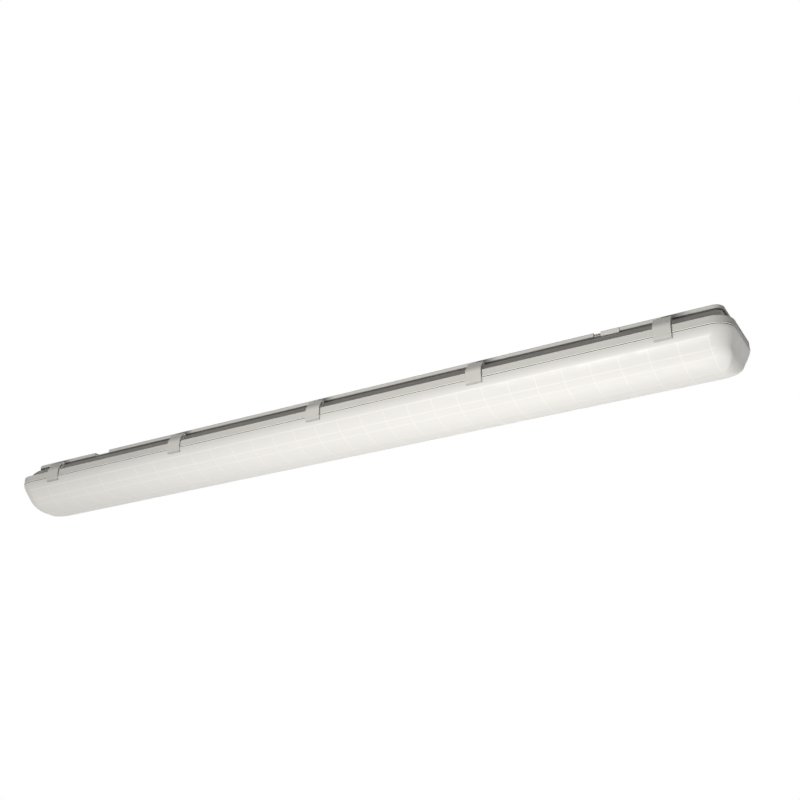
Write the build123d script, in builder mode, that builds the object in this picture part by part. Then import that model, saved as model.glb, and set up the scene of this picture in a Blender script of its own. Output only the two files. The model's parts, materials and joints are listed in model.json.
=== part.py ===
from build123d import *
from math import cos, radians, sin, tan
import os

# Vapor tight ceiling light, 1263 mm long. Millimetres.
# X runs along the light, Y across it with the front at -Y, and Z = 0 is the ceiling.

os.makedirs("parts", exist_ok=True)

# Rim, the deep edge of the housing that the latches grip
rim_length = 1263.0
rim_width = 126.0
rim_corner = 28.0
rim_height = 11.6
rim_drop = 29.8
rim_wall = 2.2
rim_edge_round = 1.0
bead_reach = 0.4
bead_height = 1.2
bead_round = 0.5

# Back of the housing: a raised ridge, the undercut below it and a wall that widens in two slopes.
# Each outline is set in from the rim. The wall's right end is upright and its left end leans out.
housing_wall = 2.2
ceiling_gap = 0.3
ridge_end_inset = 13.5
ridge_side_inset = 28.0
ridge_corner = 13.5
ridge_height = 6.0
ridge_thickness = 10.0
ridge_round = 1.8
undercut_height = 2.9
undercut_depth = 3.2
throat_depth = 0.8
wall_right_inset = 15.5
brow_left_inset = 10.0
brow_side_inset = 28.8
brow_corner = 8.0
bevel_height = 6.3
bevel_left_inset = 5.0
bevel_side_inset = 23.5
bevel_corner = 8.5
bevel_wall = 3.2
foot_left_inset = 1.5
foot_side_inset = 14.6
foot_corner = 16.0
foot_wall = 2.7
deck_left_inset = 8.3
deck_corner = 21.0

# Gutter for the gasket
gutter_width = 5.4
gutter_skirt = 2.0
gasket_side_gap = 0.2
gasket_seat_gap = 0.2
gasket_height = 5.0
gasket_round = 1.2

# Lens
overall_height = 84.6
seam_gap = 0.5
flange_height = 6.1
flange_round = 0.5
dome_inset = 2.8
dome_axis_rise = 4.0
dome_end_inset = 4.5
dome_end_draft = 10.0
dome_end_round = 21.0
dome_round_share = 0.77
lens_wall = 2.0
cove_round = 7.5
tongue_gap = 0.6
tongue_thickness = 1.8
tongue_seat_gap = 0.3

# Latches
latch_end_inset = 87.5
latches_per_side = 5
latch_width = 24.4
latch_thickness = 1.3
latch_stand_off = 1.6
latch_lean = 34.0
latch_loop_width = 5.5
latch_loop_length = 13.3
hairpin_share = 0.49
latch_bend = 14.0
latch_lip_bend = 2.4
latch_lip_gap = 0.45
knuckle_radius = 2.1
pin_radius = 1.0
pin_running_gap = 0.05
pin_seat_gap = 0.02
pin_inset = 3.4
pin_rise = 2.6
pin_end_inset = 0.2
lug_width = 8.0
lug_radius = 2.5
lug_side_gap = 0.4
lug_gap = 0.4
lug_root = 1.0
catch_depth = 1.5
catch_height = 3.2
catch_side_gap = 1.0
catch_tip_gap = 0.4

# Ceiling brackets, snapped into notches in the ridge
bracket_end_inset = 171.25
notch_width = 37.5
tongue_mouth_width = 33.0
notch_lip = 1.4
notch_trim = 1.6
lip_width = 2.4
bracket_thickness = 1.2
bracket_side_gap = 0.75
bracket_arm_width = 26.5
bracket_plate_inset = 5.5
bracket_bend = 1.6
bracket_hook_gap = 0.3
bracket_hook_reach = 1.8
bracket_step_inset = 16.0
bracket_step_run = 5.0
bracket_tongue_inset = 4.6
keeper_inset = 5.0
keeper_depth = 2.5
keeper_thickness = 1.0
keeper_gap = 0.5
bracket_hole_radius = 2.75
bracket_slot_length = 12.0
bracket_slot_pitch = 30.0

# Cable entry in the back
entry_end_inset = 301.5
entry_radius = 11.1
grommet_neck_gap = 0.1
grommet_flange = 3.4
grommet_flange_thickness = 1.6
grommet_seat_gap = 0.1
grommet_bore_radius = 4.5

# Gear tray
tray_end_inset = 27.5
tray_side_inset = 21.0
tray_sheet = 1.0
tray_flange_height = 6.0
tray_drop = 34.0
tray_bend = 1.5
post_radius = 4.5
post_end_inset = 44.5
post_side_inset = 11.0
post_columns = 4
post_rows = 2
screw_radius = 1.75
screw_hole_gap = 0.05
screw_free_gap = 0.25
screw_bite = 12.0
screw_head_radius = 3.5
screw_head_height = 2.4
head_round_share = 0.45
screw_slot_width = 0.9
screw_slot_depth = 1.1
screw_hole_extra = 2.0
screw_end_gap = 0.2

# Light boards and chips
board_end_inset = 4.0
board_width = 40.0
board_thickness = 1.6
board_gap = 4.0
chip_end_inset = 19.0
chips_per_row = 15
chip_row_gap = 15.0
chip_rows = 2
chip_size = 3.0
chip_height = 0.7
board_screw_radius = 1.25
board_screw_inset_x = 9.0
board_screw_inset_y = 4.5
board_screw_head_radius = 2.5
board_screw_head_height = 1.5
link_length = 16.0
link_width = 8.0
link_height = 3.0
link_round = 0.5

# Driver, terminal block, earth screw and feed connector
driver_length = 262.0
driver_width = 38.0
driver_height = 21.0
driver_round = 2.0
driver_tab = 12.0
driver_tab_thickness = 1.5
driver_tab_width = 22.0
terminal_gap = 91.0
terminal_length = 22.0
terminal_width = 36.0
terminal_height = 17.0
terminal_round = 1.0
terminal_poles = 3
terminal_pole_pitch = 11.0
terminal_well_radius = 3.0
terminal_well_depth = 6.0
terminal_screw_radius = 2.7
terminal_screw_height = 2.5
wire_radius = 1.2
wire_socket_depth = 4.0
wire_height_share = 0.5
wire_socket_gap = 0.1
wire_end_gap = 0.1
wire_straight = 8.0
driver_wire_pitch = 7.0
feed_gap = 65.0
feed_length = 12.0
feed_width = 20.0
feed_height = 12.0
feed_wire_pitch = 9.0
feed_wire_share = 0.6
driver_feed_pitch = 6.0
earth_offset = 26.0
earth_inset = 9.0
earth_head_radius = 4.0
earth_head_height = 2.4
earth_radius = 2.0
earth_tail = 4.0
lug_ring_radius = 4.5
lug_thickness = 0.8
lug_neck = 2.0
lug_barrel_radius = 2.1
lug_barrel_length = 6.0

overrun = 1.0

# Levels, all below the ceiling
ridge_top = -ceiling_gap
ridge_foot = ridge_top - ridge_height
undercut_foot = ridge_foot - undercut_height
bevel_foot = undercut_foot - bevel_height
shoulder = -rim_drop
shoulder_roof = shoulder - rim_wall
rim_foot = shoulder - rim_height
roof = ridge_foot - housing_wall
throat = undercut_foot - throat_depth
flange_top = rim_foot - seam_gap
flange_foot = flange_top - flange_height
dome_bottom = -overall_height
dome_axis = flange_foot + dome_axis_rise
dome_depth = dome_axis - dome_bottom
tray_top = -tray_drop
tray_foot = tray_top - tray_sheet
board_foot = tray_foot - board_thickness

# Half sizes that many pieces share
rim_face = rim_width / 2
ridge_length = rim_length - 2 * ridge_end_inset
ridge_width = rim_width - 2 * ridge_side_inset
ridge_face = ridge_width / 2
gutter_outer = rim_wall
gutter_inner = rim_wall + gutter_width
opening_inset = gutter_inner + gutter_skirt
dome_half_width = rim_face - dome_inset
dome_end = rim_length / 2 - dome_end_inset

latch_pitch = (rim_length - 2 * latch_end_inset) / (latches_per_side - 1)
latch_places = [latch_pitch * (i - (latches_per_side - 1) / 2) for i in range(latches_per_side)]
pin_y = rim_face - pin_inset
pin_z = shoulder + pin_rise
pin_length = latch_width - 2 * pin_end_inset

# Each bracket has the side that its spring arm faces, 1 for the back and -1 for the front
bracket_x = rim_length / 2 - bracket_end_inset
bracket_places = [(-bracket_x, 1), (bracket_x, -1)]
lip_top = ridge_foot + notch_lip
lip_face = ridge_face - notch_trim
lip_back = lip_face - lip_width
keeper_outer = ridge_face - keeper_inset
keeper_inner = keeper_outer - keeper_depth
keeper_foot = ridge_foot + keeper_gap + bracket_thickness + keeper_gap

# Places of the gear
entry_x = entry_end_inset - rim_length / 2
tray_length = rim_length - 2 * tray_end_inset
tray_width = rim_width - 2 * tray_side_inset
post_pitch_x = (tray_length - 2 * post_end_inset) / (post_columns - 1)
post_pitch_y = ridge_width - 2 * post_side_inset
board_length = (tray_length - board_gap) / 2 - board_end_inset
board_screw_pitch_y = board_width - 2 * board_screw_inset_y
chip_pitch = (board_length - 2 * chip_end_inset) / (chips_per_row - 1)
chip_row_pitch = chip_size + chip_row_gap
terminal_x = -driver_length / 2 - terminal_gap
feed_x = driver_length / 2 + feed_gap
earth_x = terminal_x + earth_offset
earth_y = tray_width / 2 - earth_inset


def rounded_outline(length, width, corner, inset):
    # a rounded rectangle drawn in by an even inset
    return RectangleRounded(length - 2 * inset, width - 2 * inset, corner - inset)


def wall_outline(left_inset, side_inset, corner, inset):
    # set in from the rim by different amounts at the left end, at the sides and at the right end
    with Locations(((left_inset - wall_right_inset) / 2, 0)):
        length = rim_length - left_inset - wall_right_inset
        rounded_outline(length, rim_width - 2 * side_inset, corner, inset)


def lens_form(half_width, depth, end, end_round):
    # half an ellipse across, cut by a leaning end face at each end and rounded into it.
    # The rounding stays under the tightest bend of the ellipse
    tightest = min(depth**2 / half_width, half_width**2 / depth)
    end_round = min(end_round, dome_round_share * tightest)
    with BuildPart() as form:
        with BuildSketch(Plane.YZ):
            with BuildLine():
                EllipticalCenterArc((0, dome_axis), half_width, depth, start_angle=180, arc_size=180)
                Line((half_width, dome_axis), (-half_width, dome_axis))
            make_face()
        extrude(amount=end, both=True)
        lean = depth * tan(radians(dome_end_draft))
        for side in (-1, 1):
            with BuildSketch(Plane.XZ):
                with BuildLine():
                    Polyline(
                        (side * end, dome_axis),
                        (side * (end + overrun), dome_axis),
                        (side * (end + overrun), dome_axis - depth - overrun),
                        (side * (end - lean), dome_axis - depth - overrun),
                        (side * (end - lean), dome_axis - depth),
                        close=True,
                    )
                make_face()
            extrude(amount=half_width + overrun, both=True, mode=Mode.SUBTRACT)
        for place in (0, -1):
            end_face = form.faces().sort_by(Axis.X)[place]
            fillet(end_face.edges().sort_by(Axis.Z)[:-1], end_round)
    return form.part


# Housing
with BuildPart() as housing:
    with BuildSketch(Plane.XY.offset(rim_foot)):
        rounded_outline(rim_length, rim_width, rim_corner, 0)
    extrude(amount=rim_height)
    fillet(housing.edges().group_by(Axis.Z)[-1], rim_edge_round)
    with BuildSketch(Plane.XY.offset(rim_foot)):
        rounded_outline(rim_length, rim_width, rim_corner, -bead_reach)
    extrude(amount=bead_height)
    fillet(housing.edges().group_by(Axis.Z)[0], bead_round)
    with BuildSketch(Plane.XY.offset(undercut_foot)):
        wall_outline(brow_left_inset, brow_side_inset, brow_corner, 0)
    with BuildSketch(Plane.XY.offset(bevel_foot)):
        wall_outline(bevel_left_inset, bevel_side_inset, bevel_corner, 0)
    with BuildSketch(Plane.XY.offset(shoulder)):
        wall_outline(foot_left_inset, foot_side_inset, foot_corner, 0)
    loft(ruled=True)
    with BuildSketch(Plane.XY.offset(undercut_foot)):
        rounded_outline(ridge_length, ridge_width, ridge_corner, undercut_depth)
    extrude(amount=undercut_height)
    with BuildSketch(Plane.XY.offset(ridge_foot)):
        rounded_outline(ridge_length, ridge_width, ridge_corner, 0)
    extrude(amount=ridge_height)
    fillet(housing.edges().group_by(Axis.Z)[-1], ridge_round)
    with BuildSketch(Plane.XY.offset(ridge_foot)):
        rounded_outline(ridge_length, ridge_width, ridge_corner, ridge_thickness)
    extrude(amount=ridge_height + overrun, mode=Mode.SUBTRACT)

    # the hollow inside, its way down past the deck over the gutter, then the opening and the gutter
    with BuildSketch(Plane.XY.offset(throat)):
        rounded_outline(ridge_length, ridge_width, ridge_corner, undercut_depth + housing_wall)
    extrude(amount=roof - throat, mode=Mode.SUBTRACT)
    with BuildSketch(Plane.XY.offset(throat)):
        rounded_outline(ridge_length, ridge_width, ridge_corner, undercut_depth + housing_wall)
    with BuildSketch(Plane.XY.offset(bevel_foot)):
        wall_outline(bevel_left_inset, bevel_side_inset, bevel_corner, bevel_wall)
    with BuildSketch(Plane.XY.offset(shoulder)):
        wall_outline(foot_left_inset, foot_side_inset, foot_corner, foot_wall)
    loft(ruled=True, mode=Mode.SUBTRACT)
    with BuildSketch(Plane.XY.offset(shoulder_roof)):
        wall_outline(deck_left_inset, foot_side_inset, deck_corner, foot_wall)
    extrude(amount=rim_wall, mode=Mode.SUBTRACT)
    with BuildSketch(Plane.XY.offset(rim_foot - overrun)):
        rounded_outline(rim_length, rim_width, rim_corner, opening_inset)
    extrude(amount=rim_height - rim_wall + overrun, mode=Mode.SUBTRACT)
    with BuildSketch(Plane.XY.offset(rim_foot - overrun)):
        rounded_outline(rim_length, rim_width, rim_corner, gutter_outer)
        with BuildSketch(mode=Mode.SUBTRACT):
            rounded_outline(rim_length, rim_width, rim_corner, gutter_inner)
    extrude(amount=rim_height - rim_wall + overrun, mode=Mode.SUBTRACT)

    # notches in the ridge for the ceiling brackets, each with a lip and a keeper on both sides
    for notch_x, front in bracket_places:
        with Locations((notch_x, 0, ridge_foot)):
            Box(
                notch_width,
                2 * lip_back,
                ridge_height + overrun,
                align=(Align.CENTER, Align.CENTER, Align.MIN),
                mode=Mode.SUBTRACT,
            )
        for side in (-1, 1):
            mouth_width = notch_width if side == front else tongue_mouth_width
            mouth_x = notch_x - front * (notch_width - mouth_width) / 2
            with Locations((mouth_x, side * (lip_back + ridge_face) / 2, lip_top)):
                Box(
                    mouth_width,
                    ridge_face - lip_back + 2 * overrun,
                    ridge_top - lip_top + overrun,
                    align=(Align.CENTER, Align.CENTER, Align.MIN),
                    mode=Mode.SUBTRACT,
                )
            with Locations((mouth_x, side * (lip_face + ridge_face + overrun) / 2, ridge_foot)):
                Box(
                    mouth_width,
                    notch_trim + overrun,
                    ridge_height,
                    align=(Align.CENTER, Align.CENTER, Align.MIN),
                    mode=Mode.SUBTRACT,
                )
            with Locations((notch_x, side * (keeper_inner + keeper_outer) / 2, keeper_foot)):
                Box(
                    notch_width,
                    keeper_outer - keeper_inner,
                    keeper_thickness,
                    align=(Align.CENTER, Align.CENTER, Align.MIN),
                )

    # posts for the gear tray
    with Locations((0, 0, tray_top)):
        with GridLocations(post_pitch_x, post_pitch_y, post_columns, post_rows):
            Cylinder(post_radius, roof - tray_top, align=(Align.CENTER, Align.CENTER, Align.MIN))
            Cylinder(
                screw_radius + screw_hole_gap,
                screw_bite + screw_hole_extra,
                align=(Align.CENTER, Align.CENTER, Align.MIN),
                mode=Mode.SUBTRACT,
            )

    # cable entry
    with Locations((entry_x, 0, (roof + ridge_foot) / 2)):
        Cylinder(entry_radius, 2 * housing_wall, mode=Mode.SUBTRACT)

    # a lug for the pin of each latch
    for side in (-1, 1):
        for latch_x in latch_places:
            with BuildSketch(Plane.YZ.offset(latch_x)):
                with Locations((side * pin_y, pin_z)):
                    Circle(lug_radius)
                with Locations((side * pin_y, shoulder - lug_root)):
                    Rectangle(2 * lug_radius, pin_rise + lug_root, align=(Align.CENTER, Align.MIN))
                with Locations((side * pin_y, pin_z)):
                    Circle(pin_radius + pin_seat_gap, mode=Mode.SUBTRACT)
            extrude(amount=lug_width / 2, both=True)
    housing.part.label = "housing"
export_step(housing.part, "parts/housing.step")

# Gasket, a closed ring in the gutter
with BuildPart() as gasket:
    with BuildSketch(Plane.XY.offset(shoulder_roof - gasket_seat_gap - gasket_height)):
        rounded_outline(rim_length, rim_width, rim_corner, gutter_outer + gasket_side_gap)
        with BuildSketch(mode=Mode.SUBTRACT):
            rounded_outline(rim_length, rim_width, rim_corner, gutter_inner - gasket_side_gap)
    extrude(amount=gasket_height)
    fillet(gasket.edges().group_by(Axis.Z)[0], gasket_round)
gasket.part.label = "gasket"
export_step(gasket.part, "parts/gasket.step")

# Lens: a flange flush with the rim, rounded in below it, and the dome
tongue_inset = gutter_outer + tongue_gap
tongue_top = shoulder_roof - gasket_seat_gap - gasket_height - tongue_seat_gap
dome_outside = lens_form(dome_half_width, dome_depth, dome_end, dome_end_round)
dome_inside = lens_form(
    dome_half_width - lens_wall,
    dome_depth - lens_wall,
    dome_end - lens_wall,
    dome_end_round - lens_wall,
)
with BuildPart() as lens:
    with BuildSketch(Plane.XY.offset(flange_foot - cove_round)):
        rounded_outline(rim_length, rim_width, rim_corner, 0)
    extrude(amount=cove_round + flange_height)
    fillet(lens.edges().group_by(Axis.Z)[-1], flange_round)
    fillet(lens.edges().group_by(Axis.Z)[0], cove_round)
    with BuildSketch(Plane.XY.offset(flange_top)):
        rounded_outline(rim_length, rim_width, rim_corner, tongue_inset)
    extrude(amount=tongue_top - flange_top)
    add(dome_outside)
    with BuildSketch(Plane.XY.offset(dome_axis - overrun)):
        rounded_outline(rim_length, rim_width, rim_corner, tongue_inset + tongue_thickness)
    extrude(amount=tongue_top - dome_axis + 2 * overrun, mode=Mode.SUBTRACT)
    add(dome_inside, mode=Mode.SUBTRACT)
    for side in (-1, 1):
        for latch_x in latch_places:
            with Locations((latch_x, side * (rim_face - catch_depth), flange_foot)):
                Box(
                    latch_width + 2 * catch_side_gap,
                    catch_depth + overrun,
                    catch_height,
                    align=(Align.CENTER, Align.MIN if side > 0 else Align.MAX, Align.MAX),
                    mode=Mode.SUBTRACT,
                )
lens.part.label = "lens"
export_step(lens.part, "parts/lens.step")

# Latches: one folded strap each, from the knuckle up round the loop and down to the lip
leg_gap = latch_loop_width - latch_thickness
lean_y = sin(radians(latch_lean))
lean_z = cos(radians(latch_lean))
strap_y = rim_face + latch_stand_off + latch_thickness / 2
lip_tip_y = rim_face - catch_depth + catch_tip_gap
lip_z = flange_foot - latch_lip_gap - latch_thickness / 2
front_y = pin_y + leg_gap * lean_z
front_z = pin_z + leg_gap * lean_y
bend_run = (strap_y - front_y) / lean_y
bend_z = front_z - bend_run * lean_z
top_y = latch_loop_length * lean_y
top_z = latch_loop_length * lean_z


def latch_at(latch_x, side):
    with BuildPart() as latch:
        with BuildSketch(Plane.YZ.offset(latch_x)):
            with BuildLine():
                FilletPolyline(
                    (side * lip_tip_y, lip_z),
                    (side * strap_y, lip_z),
                    (side * strap_y, bend_z),
                    (side * (front_y - top_y), front_z + top_z),
                    (side * (pin_y - top_y), pin_z + top_z),
                    (side * pin_y, pin_z),
                    radius=[latch_lip_bend, latch_bend, leg_gap * hairpin_share, leg_gap * hairpin_share],
                )
            trace(line_width=latch_thickness)
            with Locations((side * pin_y, pin_z)):
                Circle(knuckle_radius)
                Circle(pin_radius + pin_running_gap, mode=Mode.SUBTRACT)
        extrude(amount=latch_width / 2, both=True)
        with Locations((latch_x, side * pin_y, pin_z)):
            Cylinder(
                lug_radius + lug_gap,
                lug_width + 2 * lug_side_gap,
                rotation=(0, 90, 0),
                mode=Mode.SUBTRACT,
            )
    return latch


for side, side_name in ((-1, "front"), (1, "back")):
    for number, latch_x in enumerate(latch_places, start=1):
        latch = latch_at(latch_x, side)
        latch.part.label = f"latch_{side_name}_{number}"
        export_step(latch.part, f"parts/latch_{side_name}_{number}.step")

with BuildPart() as latch_pins:
    for side in (-1, 1):
        for latch_x in latch_places:
            with Locations((latch_x, side * pin_y, pin_z)):
                Cylinder(pin_radius, pin_length, rotation=(0, 90, 0))
latch_pins.part.label = "latch_pins"
export_step(latch_pins.part, "parts/latch_pins.step")

# Ceiling brackets: a spring arm on one side, a tongue under the keeper on the other.
# The left one is the same piece turned half a turn.
plate_z = -bracket_thickness / 2
arm_y = ridge_face - bracket_thickness / 2
hook_z = ridge_foot - bracket_hook_gap - bracket_thickness / 2
tongue_z = ridge_foot + keeper_gap + bracket_thickness / 2
plate_width = notch_width - 2 * bracket_side_gap
plate_end = ridge_face - bracket_plate_inset
step_y = ridge_face - bracket_step_inset
tongue_end = ridge_face - bracket_tongue_inset


def bracket_at(plate_x, front):
    arm_x = plate_x - front * (plate_width - bracket_arm_width) / 2
    with BuildPart() as bracket:
        with BuildSketch(Plane.YZ.offset(plate_x)):
            with BuildLine():
                FilletPolyline(
                    (front * plate_end, plate_z),
                    (-front * step_y, plate_z),
                    (-front * (step_y + bracket_step_run), tongue_z),
                    (-front * tongue_end, tongue_z),
                    radius=bracket_bend,
                )
            trace(line_width=bracket_thickness)
        extrude(amount=plate_width / 2, both=True)
        with BuildSketch(Plane.YZ.offset(arm_x)):
            with BuildLine():
                FilletPolyline(
                    (front * (ridge_face - bracket_thickness - bracket_hook_reach), hook_z),
                    (front * arm_y, hook_z),
                    (front * arm_y, plate_z),
                    (front * (plate_end - overrun), plate_z),
                    radius=bracket_bend,
                )
            trace(line_width=bracket_thickness)
        extrude(amount=bracket_arm_width / 2, both=True)
        with Locations((plate_x, 0, plate_z)):
            Cylinder(bracket_hole_radius, 2 * bracket_thickness, mode=Mode.SUBTRACT)
        with BuildSketch(Plane.XY.offset(-2 * bracket_thickness)):
            with Locations((plate_x, 0)):
                with GridLocations(0, bracket_slot_pitch, 1, 2):
                    SlotOverall(bracket_slot_length, 2 * bracket_hole_radius)
        extrude(amount=3 * bracket_thickness, mode=Mode.SUBTRACT)
    return bracket


mount_bracket_left = bracket_at(*bracket_places[0])
mount_bracket_left.part.label = "mount_bracket_left"
export_step(mount_bracket_left.part, "parts/mount_bracket_left.step")
mount_bracket_right = bracket_at(*bracket_places[1])
mount_bracket_right.part.label = "mount_bracket_right"
export_step(mount_bracket_right.part, "parts/mount_bracket_right.step")

# Cable grommet, a rubber spool round the cable entry
grommet_top = ridge_foot + grommet_seat_gap
grommet_foot = roof - grommet_seat_gap
with BuildPart() as cable_grommet:
    with Locations((entry_x, 0, grommet_foot - grommet_flange_thickness)):
        Cylinder(
            entry_radius - grommet_neck_gap,
            grommet_top - grommet_foot + 2 * grommet_flange_thickness,
            align=(Align.CENTER, Align.CENTER, Align.MIN),
        )
    with Locations((entry_x, 0, grommet_top), (entry_x, 0, grommet_foot - grommet_flange_thickness)):
        Cylinder(
            entry_radius + grommet_flange,
            grommet_flange_thickness,
            align=(Align.CENTER, Align.CENTER, Align.MIN),
        )
    fillet(cable_grommet.edges().group_by(Axis.Z)[-1], grommet_flange_thickness / 2)
    with Locations((entry_x, 0, (roof + ridge_foot) / 2)):
        Cylinder(grommet_bore_radius, rim_drop, mode=Mode.SUBTRACT)
cable_grommet.part.label = "cable_grommet"
export_step(cable_grommet.part, "parts/cable_grommet.step")

# Gear tray: a folded sheet, flanges up, screwed to the posts
driver_screw_x = driver_length / 2 + driver_tab / 2
board_x = (board_length + board_gap) / 2
board_screw_pitch_x = board_length - 2 * board_screw_inset_x
with BuildPart() as gear_tray:
    with BuildSketch(Plane.YZ):
        with BuildLine():
            FilletPolyline(
                (-tray_width / 2 + tray_sheet / 2, tray_top + tray_flange_height),
                (-tray_width / 2 + tray_sheet / 2, tray_top - tray_sheet / 2),
                (tray_width / 2 - tray_sheet / 2, tray_top - tray_sheet / 2),
                (tray_width / 2 - tray_sheet / 2, tray_top + tray_flange_height),
                radius=tray_bend,
            )
        trace(line_width=tray_sheet)
    extrude(amount=tray_length / 2, both=True)
    with Locations((0, 0, tray_top - tray_sheet / 2)):
        with GridLocations(post_pitch_x, post_pitch_y, post_columns, post_rows):
            Cylinder(screw_radius + screw_free_gap, 2 * tray_sheet, mode=Mode.SUBTRACT)
        with GridLocations(2 * driver_screw_x, 0, 2, 1):
            Cylinder(screw_radius + screw_hole_gap, 2 * tray_sheet, mode=Mode.SUBTRACT)
        for side in (-1, 1):
            with Locations((side * board_x, 0, 0)):
                with GridLocations(board_screw_pitch_x, board_screw_pitch_y, 2, 2):
                    Cylinder(board_screw_radius + screw_hole_gap, 2 * tray_sheet, mode=Mode.SUBTRACT)
        with Locations((feed_x, 0, 0)):
            Box(feed_length + screw_free_gap, feed_width + screw_free_gap, 2 * tray_sheet, mode=Mode.SUBTRACT)
    with Locations((earth_x, earth_y, tray_top - tray_sheet / 2)):
        Cylinder(earth_radius + screw_hole_gap, 2 * tray_sheet, mode=Mode.SUBTRACT)
gear_tray.part.label = "gear_tray"
export_step(gear_tray.part, "parts/gear_tray.step")


def pan_screw(shank_radius, shank_length, head_radius, head_height):
    # a pan head screw with its head below the origin and its shank above it
    with BuildPart() as screw:
        Cylinder(head_radius, head_height, align=(Align.CENTER, Align.CENTER, Align.MAX))
        fillet(screw.edges().group_by(Axis.Z)[0], head_height * head_round_share)
        Cylinder(shank_radius, shank_length, align=(Align.CENTER, Align.CENTER, Align.MIN))
        with Locations((0, 0, -head_height)):
            Box(
                2 * head_radius + overrun,
                screw_slot_width,
                screw_slot_depth,
                align=(Align.CENTER, Align.CENTER, Align.MIN),
                mode=Mode.SUBTRACT,
            )
    return screw.part


tray_screw = pan_screw(screw_radius, tray_sheet + screw_bite, screw_head_radius, screw_head_height)
with BuildPart() as tray_screws:
    with Locations((0, 0, tray_foot)):
        with GridLocations(post_pitch_x, post_pitch_y, post_columns, post_rows):
            add(tray_screw)
tray_screws.part.label = "tray_screws"
export_step(tray_screws.part, "parts/tray_screws.step")

# Light boards under the tray, with their chips, screws and the link between them
board_screw_reach = board_thickness + tray_sheet - screw_end_gap
board_screw = pan_screw(
    board_screw_radius, board_screw_reach, board_screw_head_radius, board_screw_head_height
)


def light_board_at(centre_x):
    with BuildPart() as light_board:
        with Locations((centre_x, 0, board_foot)):
            Box(board_length, board_width, board_thickness, align=(Align.CENTER, Align.CENTER, Align.MIN))
            with GridLocations(board_screw_pitch_x, board_screw_pitch_y, 2, 2):
                Cylinder(board_screw_radius + screw_free_gap, board_thickness * 2, mode=Mode.SUBTRACT)
    return light_board


led_board_left = light_board_at(-board_x)
led_board_left.part.label = "led_board_left"
export_step(led_board_left.part, "parts/led_board_left.step")
led_board_right = light_board_at(board_x)
led_board_right.part.label = "led_board_right"
export_step(led_board_right.part, "parts/led_board_right.step")

with BuildPart() as led_chips:
    with Locations((-board_x, 0, board_foot), (board_x, 0, board_foot)):
        with GridLocations(chip_pitch, chip_row_pitch, chips_per_row, chip_rows):
            Box(chip_size, chip_size, chip_height, align=(Align.CENTER, Align.CENTER, Align.MAX))
led_chips.part.label = "led_chips"
export_step(led_chips.part, "parts/led_chips.step")

with BuildPart() as board_screws:
    with Locations((-board_x, 0, board_foot), (board_x, 0, board_foot)):
        with GridLocations(board_screw_pitch_x, board_screw_pitch_y, 2, 2):
            add(board_screw)
board_screws.part.label = "board_screws"
export_step(board_screws.part, "parts/board_screws.step")

with BuildPart() as board_link:
    with Locations((0, 0, board_foot)):
        Box(link_length, link_width, link_height, align=(Align.CENTER, Align.CENTER, Align.MAX))
    fillet(board_link.edges().group_by(Axis.Z)[0], link_round)
board_link.part.label = "board_link"
export_step(board_link.part, "parts/board_link.step")

# Driver on the tray, a box with a foot and a screw at each end
wire_z = tray_top + terminal_height * wire_height_share
driver_end = driver_length / 2
socket_radius = wire_radius + wire_socket_gap
with BuildPart() as led_driver:
    with Locations((0, 0, tray_top)):
        Box(driver_length, driver_width, driver_height, align=(Align.CENTER, Align.CENTER, Align.MIN))
    fillet(led_driver.edges().filter_by(Axis.Z), driver_round)
    fillet(led_driver.edges().group_by(Axis.Z)[-1], driver_round)
    with Locations((0, 0, tray_top)):
        Box(
            driver_length + 2 * driver_tab,
            driver_tab_width,
            driver_tab_thickness,
            align=(Align.CENTER, Align.CENTER, Align.MIN),
        )
        with GridLocations(2 * driver_screw_x, 0, 2, 1):
            Cylinder(screw_radius + screw_free_gap, 2 * driver_tab_thickness + overrun, mode=Mode.SUBTRACT)
    with Locations((-driver_end, 0, wire_z)):
        with GridLocations(0, driver_wire_pitch, 1, 2):
            Cylinder(socket_radius, 2 * wire_socket_depth, rotation=(0, 90, 0), mode=Mode.SUBTRACT)
    with Locations((driver_end, 0, wire_z)):
        with GridLocations(0, driver_feed_pitch, 1, 2):
            Cylinder(socket_radius, 2 * wire_socket_depth, rotation=(0, 90, 0), mode=Mode.SUBTRACT)
led_driver.part.label = "led_driver"
export_step(led_driver.part, "parts/led_driver.step")

driver_screw_reach = driver_tab_thickness + tray_sheet - screw_end_gap
driver_screw = pan_screw(screw_radius, driver_screw_reach, screw_head_radius, screw_head_height)
with BuildPart() as driver_screws:
    with Locations(Location((0, 0, tray_top + driver_tab_thickness), (180, 0, 0))):
        with GridLocations(2 * driver_screw_x, 0, 2, 1):
            add(driver_screw)
driver_screws.part.label = "driver_screws"
export_step(driver_screws.part, "parts/driver_screws.step")

# Terminal block with its screws down in their wells
terminal_top = tray_top + terminal_height
with BuildPart() as terminal_block:
    with Locations((terminal_x, 0, tray_top)):
        Box(terminal_length, terminal_width, terminal_height, align=(Align.CENTER, Align.CENTER, Align.MIN))
    fillet(terminal_block.edges().group_by(Axis.Z)[-1], terminal_round)
    with Locations((terminal_x, 0, terminal_top)):
        with GridLocations(0, terminal_pole_pitch, 1, terminal_poles):
            Cylinder(terminal_well_radius, 2 * terminal_well_depth, mode=Mode.SUBTRACT)
    for side in (-1, 1):
        with Locations((terminal_x + side * terminal_length / 2, 0, wire_z)):
            with GridLocations(0, terminal_pole_pitch, 1, terminal_poles):
                Cylinder(socket_radius, 2 * wire_socket_depth, rotation=(0, 90, 0), mode=Mode.SUBTRACT)
terminal_block.part.label = "terminal_block"
export_step(terminal_block.part, "parts/terminal_block.step")

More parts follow.
